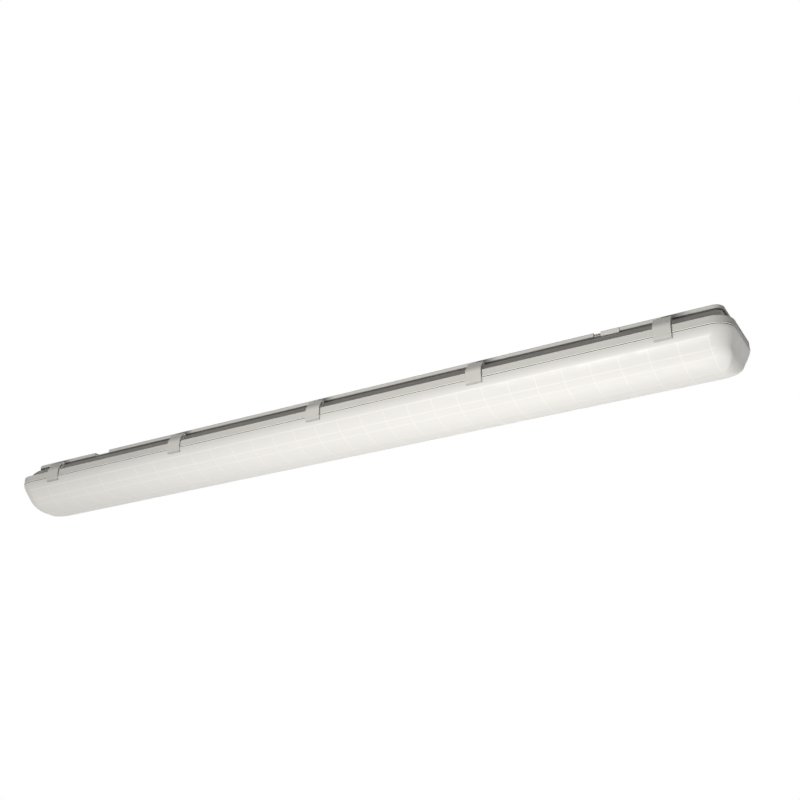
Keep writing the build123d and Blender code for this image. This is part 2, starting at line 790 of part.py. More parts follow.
with BuildPart() as terminal_screws:
    with Locations((terminal_x, 0, terminal_top - terminal_well_depth)):
        with GridLocations(0, terminal_pole_pitch, 1, terminal_poles):
            Cylinder(
                terminal_screw_radius,
                terminal_screw_height,
                align=(Align.CENTER, Align.CENTER, Align.MIN),
            )
    with Locations((terminal_x, 0, terminal_top - terminal_well_depth + terminal_screw_height)):
        with GridLocations(0, terminal_pole_pitch, 1, terminal_poles):
            Box(
                2 * terminal_screw_radius + overrun,
                screw_slot_width,
                screw_slot_depth,
                align=(Align.CENTER, Align.CENTER, Align.MAX),
                mode=Mode.SUBTRACT,
            )
terminal_screws.part.label = "terminal_screws"
export_step(terminal_screws.part, "parts/terminal_screws.step")

# Feed connector, standing on the right light board through an opening in the tray
with BuildPart() as feed_connector:
    with Locations((feed_x, 0, tray_foot)):
        Box(feed_length, feed_width, feed_height, align=(Align.CENTER, Align.CENTER, Align.MIN))
    fillet(feed_connector.edges().group_by(Axis.Z)[-1], terminal_round)
    with Locations((feed_x - feed_length / 2, 0, tray_foot + feed_height * feed_wire_share)):
        with GridLocations(0, feed_wire_pitch, 1, 2):
            Cylinder(socket_radius, 2 * wire_socket_depth, rotation=(0, 90, 0), mode=Mode.SUBTRACT)
feed_connector.part.label = "feed_connector"
export_step(feed_connector.part, "parts/feed_connector.step")

# Earth screw with its ring lug on the tray
lug_barrel_z = tray_top + lug_barrel_radius
lug_barrel_foot = earth_y - earth_head_radius - lug_neck
with BuildPart() as earth_lug:
    with Locations((earth_x, earth_y, tray_top)):
        Cylinder(lug_ring_radius, lug_thickness, align=(Align.CENTER, Align.CENTER, Align.MIN))
    with Locations((earth_x, earth_y, tray_top)):
        Box(
            2 * lug_barrel_radius,
            earth_head_radius + lug_neck,
            lug_thickness,
            align=(Align.CENTER, Align.MAX, Align.MIN),
        )
    with Locations((earth_x, lug_barrel_foot, lug_barrel_z)):
        Cylinder(lug_barrel_radius, lug_barrel_length, rotation=(90, 0, 0),
                 align=(Align.CENTER, Align.CENTER, Align.MIN))
        Cylinder(
            socket_radius,
            lug_barrel_length * 2,
            rotation=(90, 0, 0),
            mode=Mode.SUBTRACT,
        )
    with Locations((earth_x, earth_y, tray_top)):
        Cylinder(earth_radius + screw_free_gap, 2 * lug_thickness + overrun, mode=Mode.SUBTRACT)
earth_lug.part.label = "earth_lug"
export_step(earth_lug.part, "parts/earth_lug.step")

earth_reach = lug_thickness + tray_sheet + earth_tail
earth_form = pan_screw(earth_radius, earth_reach, earth_head_radius, earth_head_height)
with BuildPart() as ground_screw:
    with Locations(Location((earth_x, earth_y, tray_top + lug_thickness), (180, 0, 0))):
        add(earth_form)
ground_screw.part.label = "ground_screw"
export_step(ground_screw.part, "parts/ground_screw.step")


def lead(start, end, end_way):
    # one insulated wire that leaves its start along X and has a straight stub at each end
    leave = Vector(*start) + Vector(wire_straight, 0, 0)
    arrive = Vector(*end) - Vector(*end_way) * wire_straight
    with BuildPart() as wire:
        with BuildLine():
            Line(start, leave)
            Spline(leave, arrive, tangents=(Vector(1, 0, 0), Vector(*end_way)))
            Line(arrive, end)
        with BuildSketch(Plane(origin=start, z_dir=(1, 0, 0))):
            Circle(wire_radius)
        sweep()
    return wire.part


# Mains wires from the terminal block to the driver and to the earth lug
terminal_side = terminal_x + terminal_length / 2 - wire_socket_depth + wire_end_gap
driver_side = -driver_end + wire_socket_depth - wire_end_gap
live_wire = lead(
    (terminal_side, -terminal_pole_pitch, wire_z),
    (driver_side, -driver_wire_pitch / 2, wire_z),
    (1, 0, 0),
)
neutral_wire = lead((terminal_side, 0, wire_z), (driver_side, driver_wire_pitch / 2, wire_z), (1, 0, 0))
earth_wire = lead(
    (terminal_side, terminal_pole_pitch, wire_z),
    (earth_x, lug_barrel_foot - wire_end_gap, lug_barrel_z),
    (0, 1, 0),
)
with BuildPart() as mains_wires:
    add(live_wire)
    add(neutral_wire)
    add(earth_wire)
mains_wires.part.label = "mains_wires"
export_step(mains_wires.part, "parts/mains_wires.step")

# Low voltage wires from the driver to the feed connector
feed_start = driver_end - wire_socket_depth + wire_end_gap
feed_end = feed_x - feed_length / 2 + wire_socket_depth - wire_end_gap
feed_z = tray_foot + feed_height * feed_wire_share
with BuildPart() as led_wires:
    for side in (-1, 1):
        add(
            lead(
                (feed_start, side * driver_feed_pitch / 2, wire_z),
                (feed_end, side * feed_wire_pitch / 2, feed_z),
                (1, 0, 0),
            )
        )
led_wires.part.label = "led_wires"
export_step(led_wires.part, "parts/led_wires.step")
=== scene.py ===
import json
import math

import bpy
from mathutils import Matrix, Vector


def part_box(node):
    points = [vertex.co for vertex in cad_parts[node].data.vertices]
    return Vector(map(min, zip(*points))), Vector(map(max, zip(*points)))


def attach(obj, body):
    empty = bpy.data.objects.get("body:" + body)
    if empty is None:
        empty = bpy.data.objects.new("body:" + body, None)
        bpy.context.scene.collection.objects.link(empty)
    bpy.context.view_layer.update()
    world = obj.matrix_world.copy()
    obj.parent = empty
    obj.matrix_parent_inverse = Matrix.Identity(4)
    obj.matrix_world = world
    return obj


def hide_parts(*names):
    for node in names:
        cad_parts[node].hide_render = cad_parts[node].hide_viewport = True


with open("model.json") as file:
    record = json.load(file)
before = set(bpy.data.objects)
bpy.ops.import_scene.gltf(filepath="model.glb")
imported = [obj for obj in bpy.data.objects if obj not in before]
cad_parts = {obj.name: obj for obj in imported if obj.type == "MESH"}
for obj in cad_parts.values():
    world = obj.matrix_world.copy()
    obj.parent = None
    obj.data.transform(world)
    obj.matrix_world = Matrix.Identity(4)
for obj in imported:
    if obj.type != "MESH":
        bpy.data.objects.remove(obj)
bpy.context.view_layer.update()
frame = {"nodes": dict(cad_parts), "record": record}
nodes = frame["nodes"]
print("frame loaded with", len(nodes), "nodes")


camera = {
    "location": (0.8877, -1.345, -0.6976),
    "right": (0.8671, 0.4975, 0.0),
    "forward": (-0.4555, 0.7939, 0.4021),
    "lens": 50.0,
    "sensor": 36.0,
    "nearest": 0.05,
    "furthest": 60.0,
}

studio = {
    "floorSize": 18.0,
    "floorCuts": 4,
    "floorHeight": -2.3,
    "floorColor": (0.86, 0.86, 0.855, 1.0),
    "floorRoughness": 0.85,
    "floorLift": 0.55,
    "worldColor": (1.0, 0.995, 0.985, 1.0),
    "worldStrength": 0.22,
    "backdropColor": (1.0, 1.0, 1.0, 1.0),
    "backdropStrength": 1.0,
    "lampColor": (1.0, 0.995, 0.985),
}

lamps = {
    "keyLamp": {  # long and flat, from the front and low, so that the ridge is lit under the rim
        "at": (0.18, -1.12, -0.86),
        "aim": (0.16, 0.0, -0.04),
        "size": (0.9, 0.2),
        "watts": 20.0,
    },
    "underLamp": {
        "at": (0.4, 0.25, -1.3),
        "aim": (0.15, 0.0, -0.06),
        "size": (1.2, 0.6),
        "watts": 9.5,
    },
    "backLamp": {
        "at": (-1.1, 2.0, 1.3),
        "aim": (-0.1, 0.0, -0.03),
        "size": (1.6, 1.2),
        "watts": 70.0,
    },
}


def clearSelection():
    bpy.ops.object.select_all(action="DESELECT")
    bpy.context.view_layer.objects.active = None


def newTree(name):
    mat = bpy.data.materials.new(name)
    mat.use_nodes = True
    tree = mat.node_tree
    tree.nodes.clear()
    return mat, tree


def addCamera(name, facts):
    data = bpy.data.cameras.new(name)
    data.lens = facts["lens"]
    data.sensor_width = facts["sensor"]
    data.sensor_fit = "HORIZONTAL"
    data.clip_start = facts["nearest"]
    data.clip_end = facts["furthest"]
    obj = bpy.data.objects.new(name, data)
    bpy.context.scene.collection.objects.link(obj)
    right = Vector(facts["right"]).normalized()
    back = -Vector(facts["forward"]).normalized()
    up = back.cross(right).normalized()
    right = up.cross(back).normalized()
    turn = Matrix((right, up, back)).transposed().to_4x4()
    obj.matrix_world = Matrix.Translation(Vector(facts["location"])) @ turn
    bpy.context.scene.camera = obj


def addLamp(name, facts, color):
    data = bpy.data.lights.new(name, "AREA")
    data.shape = "RECTANGLE"
    data.size, data.size_y = facts["size"]
    data.energy = facts["watts"]
    data.color = color
    obj = bpy.data.objects.new(name, data)
    bpy.context.scene.collection.objects.link(obj)
    obj.location = facts["at"]
    aim = Vector(facts["aim"]) - Vector(facts["at"])
    obj.rotation_euler = aim.to_track_quat("-Z", "Y").to_euler()


def seenRays(tree):
    # one for the rays that show the background: from the camera, off metal or through glass
    rays = tree.nodes.new("ShaderNodeLightPath")
    seen = rays.outputs["Is Camera Ray"]
    for kind in ("Is Glossy Ray", "Is Transmission Ray"):
        both = tree.nodes.new("ShaderNodeMath")
        both.operation = "ADD"
        both.use_clamp = True
        tree.links.new(seen, both.inputs[0])
        tree.links.new(rays.outputs[kind], both.inputs[1])
        seen = both.outputs[0]
    return seen


def addFloor(facts):
    clearSelection()
    bpy.ops.mesh.primitive_grid_add(
        x_subdivisions=facts["floorCuts"],
        y_subdivisions=facts["floorCuts"],
        size=facts["floorSize"],
        location=(0, 0, facts["floorHeight"]),
    )
    floor = bpy.context.active_object
    floor.name = "studioFloor"
    mat, tree = newTree("floorPaper")
    shader = tree.nodes.new("ShaderNodeBsdfPrincipled")
    shader.inputs["Base Color"].default_value = facts["floorColor"]
    shader.inputs["Roughness"].default_value = facts["floorRoughness"]
    # the paper looks pale without more light on the object
    shader.inputs["Emission Color"].default_value = facts["floorColor"]
    lift = tree.nodes.new("ShaderNodeMath")
    lift.operation = "MULTIPLY"
    lift.inputs[1].default_value = facts["floorLift"]
    tree.links.new(seenRays(tree), lift.inputs[0])
    tree.links.new(lift.outputs[0], shader.inputs["Emission Strength"])
    out = tree.nodes.new("ShaderNodeOutputMaterial")
    tree.links.new(shader.outputs["BSDF"], out.inputs["Surface"])
    floor.data.materials.append(mat)


def setWorld(facts):
    world = bpy.data.worlds.new("studioWorld")
    bpy.context.scene.world = world
    world.use_nodes = True
    tree = world.node_tree
    tree.nodes.clear()
    soft = tree.nodes.new("ShaderNodeBackground")
    soft.inputs["Color"].default_value = facts["worldColor"]
    soft.inputs["Strength"].default_value = facts["worldStrength"]
    white = tree.nodes.new("ShaderNodeBackground")
    white.inputs["Color"].default_value = facts["backdropColor"]
    white.inputs["Strength"].default_value = facts["backdropStrength"]
    mix = tree.nodes.new("ShaderNodeMixShader")
    tree.links.new(seenRays(tree), mix.inputs["Fac"])
    tree.links.new(soft.outputs[0], mix.inputs[1])
    tree.links.new(white.outputs[0], mix.inputs[2])
    out = tree.nodes.new("ShaderNodeOutputWorld")
    tree.links.new(mix.outputs[0], out.inputs["Surface"])


bpy.context.scene.view_settings.view_transform = "Standard"
addCamera("photoCamera", camera)
setWorld(studio)
addFloor(studio)
for lampName, lampFacts in lamps.items():
    addLamp(lampName, lampFacts, studio["lampColor"])
print("camera, floor and lamps are set")


middle = (0.35, 0.65)  # the part of a noise's range where most of its values lie


class Maker:
    # a short way to wire the nodes of one material
    def __init__(self, name):
        self.mat, self.tree = newTree(name)
        self.shader = self.add("BsdfPrincipled")
        out = self.add("OutputMaterial")
        self.link(self.shader.outputs["BSDF"], out.inputs["Surface"])
        self.place = self.add("TexCoord").outputs["Object"]

    def add(self, kind, **settings):
        node = self.tree.nodes.new("ShaderNode" + kind)
        for key, value in settings.items():
            setattr(node, key, value)
        return node

    def link(self, a, b):
        self.tree.links.new(a, b)

    def feed(self, socket, value):
        # a number or a colour is set on the socket, anything else is wired to it
        if isinstance(value, (int, float, tuple)):
            socket.default_value = value
        else:
            self.link(value, socket)

    def set(self, **values):
        for key, value in values.items():
            self.shader.inputs[key.replace("_", " ")].default_value = value

    def stretched(self, scale):
        node = self.add("Mapping")
        node.inputs["Scale"].default_value = scale
        self.link(self.place, node.inputs["Vector"])
        return node.outputs["Vector"]

    def noise(self, scale, detail=3.0, roughness=0.5, stretch=None):
        node = self.add("TexNoise")
        node.inputs["Scale"].default_value = scale
        node.inputs["Detail"].default_value = detail
        node.inputs["Roughness"].default_value = roughness
        self.link(self.stretched(stretch) if stretch else self.place, node.inputs["Vector"])
        return node.outputs["Fac"]

    def cells(self, scale):
        node = self.add("TexVoronoi", feature="F1")
        node.inputs["Scale"].default_value = scale
        self.link(self.place, node.inputs["Vector"])
        return node.outputs["Distance"]

    def ramp(self, fac, low, high, reach=middle):
        node = self.add("ValToRGB")
        for element, place, tone in zip(node.color_ramp.elements, reach, (low, high)):
            element.position = place
            element.color = tone
        self.link(fac, node.inputs["Fac"])
        return node.outputs["Color"]

    def span(self, fac, low, high, reach=middle):
        node = self.add("MapRange")
        node.inputs["From Min"].default_value = reach[0]
        node.inputs["From Max"].default_value = reach[1]
        node.inputs["To Min"].default_value = low
        node.inputs["To Max"].default_value = high
        self.link(fac, node.inputs["Value"])
        return node.outputs["Result"]

    def math(self, operation, *values):
        node = self.add("Math", operation=operation)
        for socket, value in zip(node.inputs, values):
            self.feed(socket, value)
        return node.outputs[0]

    def away(self, place, plane=0.0):
        # distance from a plane across one axis
        if plane:
            place = self.math("SUBTRACT", place, plane)
        return self.math("ABSOLUTE", place)

    def awayFromRow(self, place, pitch):
        # distance from the nearest plane of an even row
        return self.away(self.math("WRAP", place, pitch / 2, -pitch / 2))

    def between(self, place, low, high):
        above = self.math("GREATER_THAN", place, low)
        return self.math("MULTIPLY", above, self.math("LESS_THAN", place, high))

    def mix(self, fac, a, b):
        node = self.add("Mix", data_type="RGBA")
        fractionIn, firstIn, secondIn = (node.inputs[i] for i in (0, 6, 7))
        self.feed(fractionIn, fac)
        self.feed(firstIn, a)
        self.feed(secondIn, b)
        return node.outputs[2]

    def xyz(self):
        node = self.add("SeparateXYZ")
        self.link(self.place, node.inputs["Vector"])
        return node.outputs["X"], node.outputs["Y"], node.outputs["Z"]

    def bump(self, height, distance, strength):
        node = self.add("Bump")
        node.inputs["Distance"].default_value = distance
        node.inputs["Strength"].default_value = strength
        self.link(height, node.inputs["Height"])
        self.link(node.outputs["Normal"], self.shader.inputs["Normal"])

    def clear(self, depth, reach, samples=12):
        # one in the open and less in a gap that is narrower than the depth
        node = self.add("AmbientOcclusion", samples=samples)
        node.inputs["Distance"].default_value = depth
        return self.span(node.outputs["AO"], 0.0, 1.0, reach)

    def color(self, socket):
        self.link(socket, self.shader.inputs["Base Color"])

    def rough(self, socket):
        self.link(socket, self.shader.inputs["Roughness"])


housingLook = {
    "base": (0.56, 0.545, 0.513, 1.0),
    "shade": (0.535, 0.52, 0.489, 1.0),
    "flow": {"scale": 26.0, "detail": 4.0, "roughness": 0.55, "stretch": (0.18, 1.0, 1.0)},
    "flowReach": (0.3, 0.62),
    "fleck": {"scale": 520.0, "detail": 2.0},
    "fleckTone": (0.42, 0.41, 0.385, 1.0),
    "fleckShare": 0.05,
    "fleckReach": (0.45, 0.7),
    "grain": {"scale": 2600.0, "detail": 2.0},
    "grainDepth": 0.00006,
    "grainStrength": 0.6,
    "roughScale": 120.0,
    "roughLow": 0.48,
    "roughHigh": 0.6,
    "ior": 1.5,
    "sheen": 0.22,
    "creviceDepth": 0.0042,
    "creviceReach": (0.25, 0.75),
    "paintedShadeTone": (0.07, 0.066, 0.058, 1.0),
    "beadFoot": -0.0413,
    "beadTop": -0.0404,
    "beadPaintedLight": (0.72, 0.705, 0.675, 1.0),
}

latchLook = {
    **housingLook,
    "base": (0.565, 0.55, 0.518, 1.0),
    "shade": (0.54, 0.526, 0.496, 1.0),
    "flow": {"scale": 90.0, "detail": 4.0, "roughness": 0.55, "stretch": (0.18, 1.0, 1.0)},
    "fleck": {"scale": 640.0, "detail": 2.0},
    "grain": {"scale": 3200.0, "detail": 2.0},
    "grainDepth": 0.00004,
    "roughLow": 0.42,
    "roughHigh": 0.54,
    "sheen": 0.25,
    "creviceDepth": 0.002,
    "paintedShadeTone": (0.12, 0.115, 0.105, 1.0),
    "beadFoot": -0.052,
    "beadTop": -0.0479,
    "beadPaintedLight": (0.315, 0.307, 0.291, 1.0),
}


def moulded(name, look):
    m = Maker(name)
    tone = m.ramp(m.noise(**look["flow"]), look["shade"], look["base"], look["flowReach"])
    fleck = m.span(m.noise(**look["fleck"]), 0.0, look["fleckShare"], look["fleckReach"])
    tone = m.mix(fleck, tone, look["fleckTone"])
    # painted light: a painted highlight on the rounded edge at the rim's foot, and a painted shade
    # line on the lower part of a latch's lip
    z = m.xyz()[2]
    tone = m.mix(m.between(z, look["beadFoot"], look["beadTop"]), tone, look["beadPaintedLight"])
    # painted shade in narrow places, darker where the ambient occlusion finds a gap
    clear = m.clear(look["creviceDepth"], look["creviceReach"])
    m.color(m.mix(clear, look["paintedShadeTone"], tone))
    m.rough(m.span(m.noise(look["roughScale"]), look["roughLow"], look["roughHigh"]))
    m.bump(m.noise(**look["grain"]), look["grainDepth"], look["grainStrength"])
    m.set(IOR=look["ior"], Specular_IOR_Level=look["sheen"])
    return m.mat


lensLook = {
    "base": (0.47, 0.459, 0.439, 1.0),
    "shade": (0.457, 0.446, 0.427, 1.0),
    "cloud": {"scale": 9.0, "detail": 4.0, "stretch": (0.35, 1.0, 1.0)},
    "line": (0.545, 0.533, 0.512, 1.0),
    "lineShare": 0.55,
    "crossPitch": 0.04,
    "crossWidth": 0.0014,
    "longLines": (0.0587, 0.047, 0.0365, 0.007),
    "longWidth": 0.0012,
    "gridTop": -0.0545,
    "gridEnd": 0.606,
    # painted highlight along the lens's rounded top edge at the seam
    "edge": (0.65, 0.636, 0.612, 1.0),
    "edgeFoot": -0.0433,
    "creviceDepth": 0.0022,
    "creviceReach": (0.2, 0.7),
    "paintedShadeTone": (0.1, 0.097, 0.09, 1.0),
    "roughScale": 60.0,
    "roughLow": 0.34,
    "roughHigh": 0.44,
    "grain": {"scale": 1400.0, "detail": 2.0},
    "grainDepth": 0.00002,
    "grainStrength": 0.5,
    "glow": (1.0, 0.98, 0.94, 1.0),
    "glowStrength": 0.13,
    "ior": 1.5,
    "sheen": 0.25,
}


def opalLens(name, look):
    m = Maker(name)
    x, y, z = m.xyz()
    # cross lines at an even pitch from the middle
    lines = m.math("LESS_THAN", m.awayFromRow(x, look["crossPitch"]), look["crossWidth"] / 2)
    # long lines at their own distances from the middle
    side = m.away(y)
    for place in look["longLines"]:
        near = m.math("LESS_THAN", m.away(side, place), look["longWidth"] / 2)
        lines = m.math("MAXIMUM", lines, near)
    below = m.math("LESS_THAN", z, look["gridTop"])
    inside = m.math("MULTIPLY", below, m.math("LESS_THAN", m.away(x), look["gridEnd"]))
    lines = m.math("MULTIPLY", m.math("MULTIPLY", lines, inside), look["lineShare"])
    tone = m.mix(lines, m.ramp(m.noise(**look["cloud"]), look["shade"], look["base"]), look["line"])
    # painted highlight: the lens is lighter above the edge foot, on its rounded top edge
    tone = m.mix(m.math("GREATER_THAN", z, look["edgeFoot"]), tone, look["edge"])
    # painted shade: darker in narrow gaps, at the seam and under the latch lips
    clear = m.clear(look["creviceDepth"], look["creviceReach"])
    m.color(m.mix(clear, look["paintedShadeTone"], tone))
    m.rough(m.span(m.noise(look["roughScale"]), look["roughLow"], look["roughHigh"]))
    m.bump(m.noise(**look["grain"]), look["grainDepth"], look["grainStrength"])
    # painted glow: emission that stands in for light scattering through the opal shell from its
    # other side, less of it in narrow gaps
    m.set(Emission_Color=look["glow"])
    glow = m.math("MULTIPLY", clear, look["glowStrength"])
    m.link(glow, m.shader.inputs["Emission Strength"])
    m.set(IOR=look["ior"], Specular_IOR_Level=look["sheen"])
    return m.mat


gasketLook = {
    "base": (0.3, 0.3, 0.29, 1.0),
    "dark": (0.2, 0.2, 0.195, 1.0),
    "cellScale": 1500.0,
    "cellReach": (0.1, 0.6),
    "cellDepth": 0.0002,
    "cellStrength": 0.8,
    "roughScale": 400.0,
    "roughLow": 0.75,
    "roughHigh": 0.92,
    "roughReach": (0.3, 0.7),
}


def foam(name, look):
    m = Maker(name)
    cells = m.cells(look["cellScale"])
    m.color(m.ramp(cells, look["dark"], look["base"], look["cellReach"]))
    m.bump(cells, look["cellDepth"], look["cellStrength"])
    skin = m.noise(look["roughScale"])
    m.rough(m.span(skin, look["roughLow"], look["roughHigh"], look["roughReach"]))
    return m.mat


metalSkin = {
    "detail": 5.0,
    "roughness": 0.6,
    "reach": (0.3, 0.7),
    "depth": 0.00003,
    "strength": 0.4,
}

metalLooks = {
    "pin_steel": {
        "name": "pinSteel",
        "base": (0.6, 0.6, 0.61, 1.0),
        "shade": (0.48, 0.48, 0.49, 1.0),
        "scale": 700.0,
        "stretch": (0.1, 1.0, 1.0),
        "rough": (0.25, 0.4),
    },
    "screw_steel": {
        "name": "screwZinc",
        "base": (0.68, 0.69, 0.68, 1.0),
        "shade": (0.52, 0.53, 0.53, 1.0),
        "scale": 900.0,
        "rough": (0.22, 0.42),
    },
    "terminal_brass": {
        "name": "terminalBrass",
        "base": (0.72, 0.56, 0.28, 1.0),
        "shade": (0.58, 0.44, 0.2, 1.0),
        "scale": 900.0,
        "rough": (0.25, 0.42),
    },
    "lug_tin": {
        "name": "lugTin",
        "base": (0.7, 0.7, 0.69, 1.0),
        "shade": (0.58, 0.58, 0.57, 1.0),
        "scale": 700.0,
        "rough": (0.3, 0.5),
    },
    "earth_brass": {
        "name": "earthBrass",
        "base": (0.7, 0.54, 0.26, 1.0),
        "shade": (0.55, 0.41, 0.18, 1.0),
        "scale": 900.0,
        "rough": (0.25, 0.42),
    },
}


def metal(look, skin):
    m = Maker(look["name"])
    grain = m.noise(look["scale"], skin["detail"], skin["roughness"], look.get("stretch"))
    low, high = look["rough"]
    m.color(m.ramp(grain, look["shade"], look["base"], skin["reach"]))
    m.rough(m.span(grain, high, low, skin["reach"]))
    m.bump(grain, skin["depth"], skin["strength"])
    m.set(Metallic=1.0)
    return m.mat


paintSkin = {
    "cloudScale": 30.0,
    "peelDetail": 2.0,
    "depth": 0.00005,
    "strength": 0.5,
    "coat": 0.15,
    "coatRoughness": 0.25,
}

paintLooks = {
    "bracket_steel": {
        "name": "bracketPaint",
        "base": (0.6, 0.585, 0.555, 1.0),
        "shade": (0.56, 0.545, 0.515, 1.0),
        "peel": 700.0,
        "rough": (0.32, 0.45),
    },
    "tray_steel": {
        "name": "trayPaint",
        "base": (0.82, 0.82, 0.81, 1.0),
        "shade": (0.79, 0.79, 0.78, 1.0),
        "peel": 900.0,
        "rough": (0.25, 0.4),
    },
    "driver_case": {
        "name": "driverPaint",
        "base": (0.7, 0.7, 0.68, 1.0),
        "shade": (0.66, 0.66, 0.64, 1.0),
        "peel": 1000.0,
        "rough": (0.3, 0.45),
    },
}


def painted(look, skin):
    m = Maker(look["name"])
    peel = m.noise(look["peel"], skin["peelDetail"])
    m.color(m.ramp(m.noise(skin["cloudScale"]), look["shade"], look["base"]))
    m.rough(m.span(peel, *look["rough"]))
    m.bump(peel, skin["depth"], skin["strength"])
    m.set(Coat_Weight=skin["coat"], Coat_Roughness=skin["coatRoughness"])
    return m.mat


plasticSkin = {
    "roughFiner": 6.0,  # how much finer than the clouds
    "grainFiner": 25.0,
    "detail": 2.0,
    "depth": 0.00003,
    "strength": 0.5,
}

plasticLooks = {
    "grommet_rubber": {
        "name": "grommetRubber",
        "base": (0.04, 0.04, 0.04, 1.0),
        "shade": (0.025, 0.025, 0.025, 1.0),
        "scale": 60.0,
        "rough": (0.55, 0.75),
    },
    "link_plastic": {
        "name": "linkPlastic",
        "base": (0.8, 0.79, 0.75, 1.0),
        "shade": (0.74, 0.73, 0.69, 1.0),
        "scale": 120.0,
        "rough": (0.3, 0.45),
    },
    "terminal_plastic": {
        "name": "terminalPlastic",
        "base": (0.74, 0.73, 0.68, 1.0),
        "shade": (0.68, 0.67, 0.62, 1.0),
        "scale": 150.0,
        "rough": (0.4, 0.55),
    },
}


def plainPlastic(look, skin):
    m = Maker(look["name"])
    m.color(m.ramp(m.noise(look["scale"]), look["shade"], look["base"]))
    matt = m.noise(look["scale"] * skin["roughFiner"], skin["detail"])
    m.rough(m.span(matt, *look["rough"]))
    grain = m.noise(look["scale"] * skin["grainFiner"], skin["detail"])
    m.bump(grain, skin["depth"], skin["strength"])
    return m.mat


boardLook = {
    "mask": (0.84, 0.85, 0.84, 1.0),
    "track": (0.78, 0.79, 0.775, 1.0),
    "trackPitch": 0.04,
    "gapWidth": 0.0012,
    "midWidth": 0.0016,
    "rimFrom": 0.0185,
    "depth": 0.00004,
    "strength": 0.6,
    "roughScale": 300.0,
    "rough": (0.25, 0.36),
}


def circuitBoard(name, look):
    m = Maker(name)
    x, y = m.xyz()[:2]
    gap = m.math("LESS_THAN", m.awayFromRow(x, look["trackPitch"]), look["gapWidth"] / 2)
    side = m.away(y)
    mid = m.math("LESS_THAN", side, look["midWidth"] / 2)
    rim = m.math("GREATER_THAN", side, look["rimFrom"])
    share = m.math("MAXIMUM", m.math("MAXIMUM", gap, mid), rim)
    m.color(m.mix(share, look["mask"], look["track"]))
    m.bump(share, look["depth"], look["strength"])
    m.rough(m.span(m.noise(look["roughScale"]), *look["rough"]))
    return m.mat


chipLook = {
    "base": (0.9, 0.72, 0.26, 1.0),
    "shade": (0.78, 0.56, 0.13, 1.0),
    "cloudScale": 900.0,
    "roughScale": 1500.0,
    "rough": (0.2, 0.4),
    "grainScale": 2500.0,
    "depth": 0.00003,
    "strength": 0.5,
}


def phosphor(name, look):
    m = Maker(name)
    m.color(m.ramp(m.noise(look["cloudScale"]), look["shade"], look["base"]))
    m.rough(m.span(m.noise(look["roughScale"]), *look["rough"]))
    m.bump(m.noise(look["grainScale"]), look["depth"], look["strength"])
    return m.mat


wireSkin = {
    "streak": {"scale": 500.0, "stretch": (0.1, 1.0, 1.0)},
    "reach": (0.3, 0.7),
    "dust": (0.3, 0.3, 0.3, 1.0),
    "dustShare": 0.25,
    "rough": (0.28, 0.42),
    "depth": 0.00003,
    "strength": 0.4,
}

wireLooks = {
    "mains_insulation": {
        "name": "mainsCover",
        "front": (0.18, 0.08, 0.04, 1.0),
        "back": (0.05, 0.1, 0.3, 1.0),
    },
    "led_insulation": {
        "name": "ledCover",
        "front": (0.05, 0.05, 0.05, 1.0),
        "back": (0.5, 0.04, 0.03, 1.0),
    },
}


def wireCover(look, skin):
    # two colours of insulation, one on each side of the middle plane
    m = Maker(look["name"])
    y = m.xyz()[1]
    tint = m.mix(m.math("GREATER_THAN", y, 0.0), look["front"], look["back"])
    streak = m.noise(**skin["streak"])
    m.color(m.mix(m.span(streak, 0.0, skin["dustShare"], skin["reach"]), tint, skin["dust"]))
    m.rough(m.span(streak, *skin["rough"], skin["reach"]))
    m.bump(streak, skin["depth"], skin["strength"])
    return m.mat


looks = {
    "housing_plastic": moulded("housingPlastic", housingLook),
    "latch_plastic": moulded("latchPlastic", latchLook),
    "lens_opal": opalLens("lensOpal", lensLook),
    "gasket_foam": foam("gasketFoam", gasketLook),
    "board_enamel": circuitBoard("boardMask", boardLook),
    "led_phosphor": phosphor("chipPhosphor", chipLook),
}
families = (
    (metal, metalLooks, metalSkin),
    (painted, paintLooks, paintSkin),
    (plainPlastic, plasticLooks, plasticSkin),
    (wireCover, wireLooks, wireSkin),
)
for make, slotLooks, sharedSkin in families:
    for slotName, slotLook in slotLooks.items():
        looks[slotName] = make(slotLook, sharedSkin)

for row in frame["record"]["subparts"]:
    node = nodes[row["node"]]
    node.data.materials.clear()
    node.data.materials.append(looks[row["material_slot"]])
print("materials are on all nodes")


lensShape = {
    "corner": 0.028,
    "cornerSegments": 14,
    "longCuts": 61,
    "endCuts": 7,
    "top": -0.0421,
    "edgeDrop": 0.0006,
    "edgeDropParts": 3,  # the rounded edge at the seam has one level between its top and its foot
    "edgeInset": 0.0004,
    "edgeInsetParts": 4,
    "axis": -0.044,
    "domeWidth": 0.0602,
    "domeEnd": 0.627,
    "endDraft": 10.0,
    "endRound": 0.021,
    "blendFoot": -0.067,
    "blendTop": -0.0382,
    "levels": 30,
    "lastAngle": 88.0,
    "wall": 0.002,
    "smoothAngle": 40.0,
    "sameSpot": 1e-6,
}


def softStep(value, low, high):
    share = min(1.0, max(0.0, (value - low) / (high - low)))
    return share * share * (3.0 - 2.0 * share)


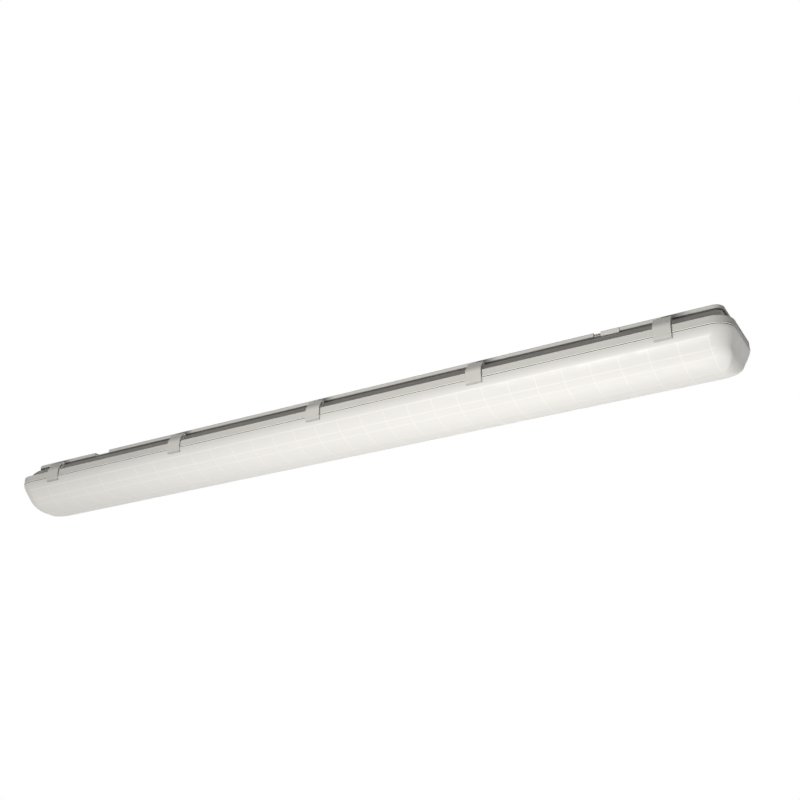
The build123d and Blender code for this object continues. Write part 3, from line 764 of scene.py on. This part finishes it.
def lensLevels(shape, halfLength, halfWidth, bottom):
    # height, half length and half width of each level, from the seam to the middle of the dome
    depth = shape["axis"] - bottom
    draft = math.radians(shape["endDraft"])
    roundBottom = shape["domeEnd"] - depth * math.tan(draft)
    roundBottom -= shape["endRound"] / math.tan((math.pi / 2 + draft) / 2)
    roundHeight = bottom + shape["endRound"]
    roundTop = roundHeight - shape["endRound"] * math.sin(draft)
    inset, drop, top = shape["edgeInset"], shape["edgeDrop"], shape["top"]
    midInset, midDrop = inset / shape["edgeInsetParts"], drop / shape["edgeDropParts"]
    levels = [
        (top, halfLength - inset, halfWidth - inset),
        (top - midDrop, halfLength - midInset, halfWidth - midInset),
        (top - drop, halfLength, halfWidth),
    ]
    for step in range(1, shape["levels"] + 1):
        angle = math.radians(shape["lastAngle"]) * step / shape["levels"]
        z = shape["axis"] - depth * math.sin(angle)
        blend = softStep(z, shape["blendFoot"], shape["blendTop"])
        side = shape["domeWidth"] * math.cos(angle) + (halfWidth - shape["domeWidth"]) * blend
        if z > roundTop:
            end = shape["domeEnd"] + (z - shape["axis"]) * math.tan(draft)
        else:
            end = roundBottom + math.sqrt(shape["endRound"] ** 2 - (z - roundHeight) ** 2)
        end += (halfLength - shape["domeEnd"]) * blend
        levels.append((z, end, side))
    return levels


def selectRuns(piece, axis, shape):
    # the straight edges that run along one axis
    bpy.ops.mesh.select_mode(type="EDGE")
    bpy.ops.mesh.select_all(action="DESELECT")
    bpy.ops.object.mode_set(mode="OBJECT")
    points = piece.data.vertices
    for edge in piece.data.edges:
        a, b = (points[i].co for i in edge.vertices)
        along, across = abs(a[axis] - b[axis]), abs(a[1 - axis] - b[1 - axis])
        edge.select = along > shape["corner"] and across < shape["sameSpot"]
    bpy.ops.object.mode_set(mode="EDIT")


def makeLens(name, shape):
    # the seam's outline is drawn once and extruded down level by level
    low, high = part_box("lens")
    levels = lensLevels(shape, high[0], high[1], low[2])
    z, end, side = levels[0]
    clearSelection()
    bpy.ops.mesh.primitive_plane_add(size=2.0, location=(0.0, 0.0, z))  # one to each side
    piece = bpy.context.active_object
    piece.name = name
    piece.data.name = name
    bpy.ops.transform.resize(value=(end, side, 1.0))
    bpy.ops.object.transform_apply(location=True, rotation=True, scale=True)
    bpy.ops.object.mode_set(mode="EDIT")
    bpy.ops.mesh.select_all(action="SELECT")
    bpy.ops.mesh.bevel(offset=shape["corner"], segments=shape["cornerSegments"], affect="VERTICES")
    for axis, cuts in enumerate((shape["longCuts"], shape["endCuts"])):
        selectRuns(piece, axis, shape)
        bpy.ops.mesh.subdivide(number_cuts=cuts)
    bpy.ops.mesh.select_mode(type="FACE")
    bpy.ops.mesh.select_all(action="SELECT")
    for nextZ, nextEnd, nextSide in levels[1:]:
        drop = (0.0, 0.0, nextZ - z)
        bpy.ops.mesh.extrude_region_move(TRANSFORM_OT_translate={"value": drop})
        scale = (nextEnd / end, nextSide / side, 1.0)
        bpy.ops.transform.resize(value=scale, center_override=(0.0, 0.0, nextZ))
        z, end, side = nextZ, nextEnd, nextSide
    bpy.ops.mesh.select_all(action="SELECT")
    bpy.ops.mesh.remove_doubles(threshold=shape["sameSpot"])
    bpy.ops.mesh.normals_make_consistent(inside=False)
    bpy.ops.object.mode_set(mode="OBJECT")
    shell = piece.modifiers.new("shell", "SOLIDIFY")
    shell.thickness = shape["wall"]
    shell.offset = -1.0  # the wall grows inwards
    bpy.ops.object.modifier_apply(modifier=shell.name)
    bpy.ops.object.shade_smooth_by_angle(angle=math.radians(shape["smoothAngle"]))
    return piece


lensPiece = makeLens("lensOuter", lensShape)
lensPiece.data.materials.append(looks["lens_opal"])
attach(lensPiece, "fixture")
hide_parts("lens")
print("outer lens made with", len(lensPiece.data.polygons), "faces")


clearSelection()
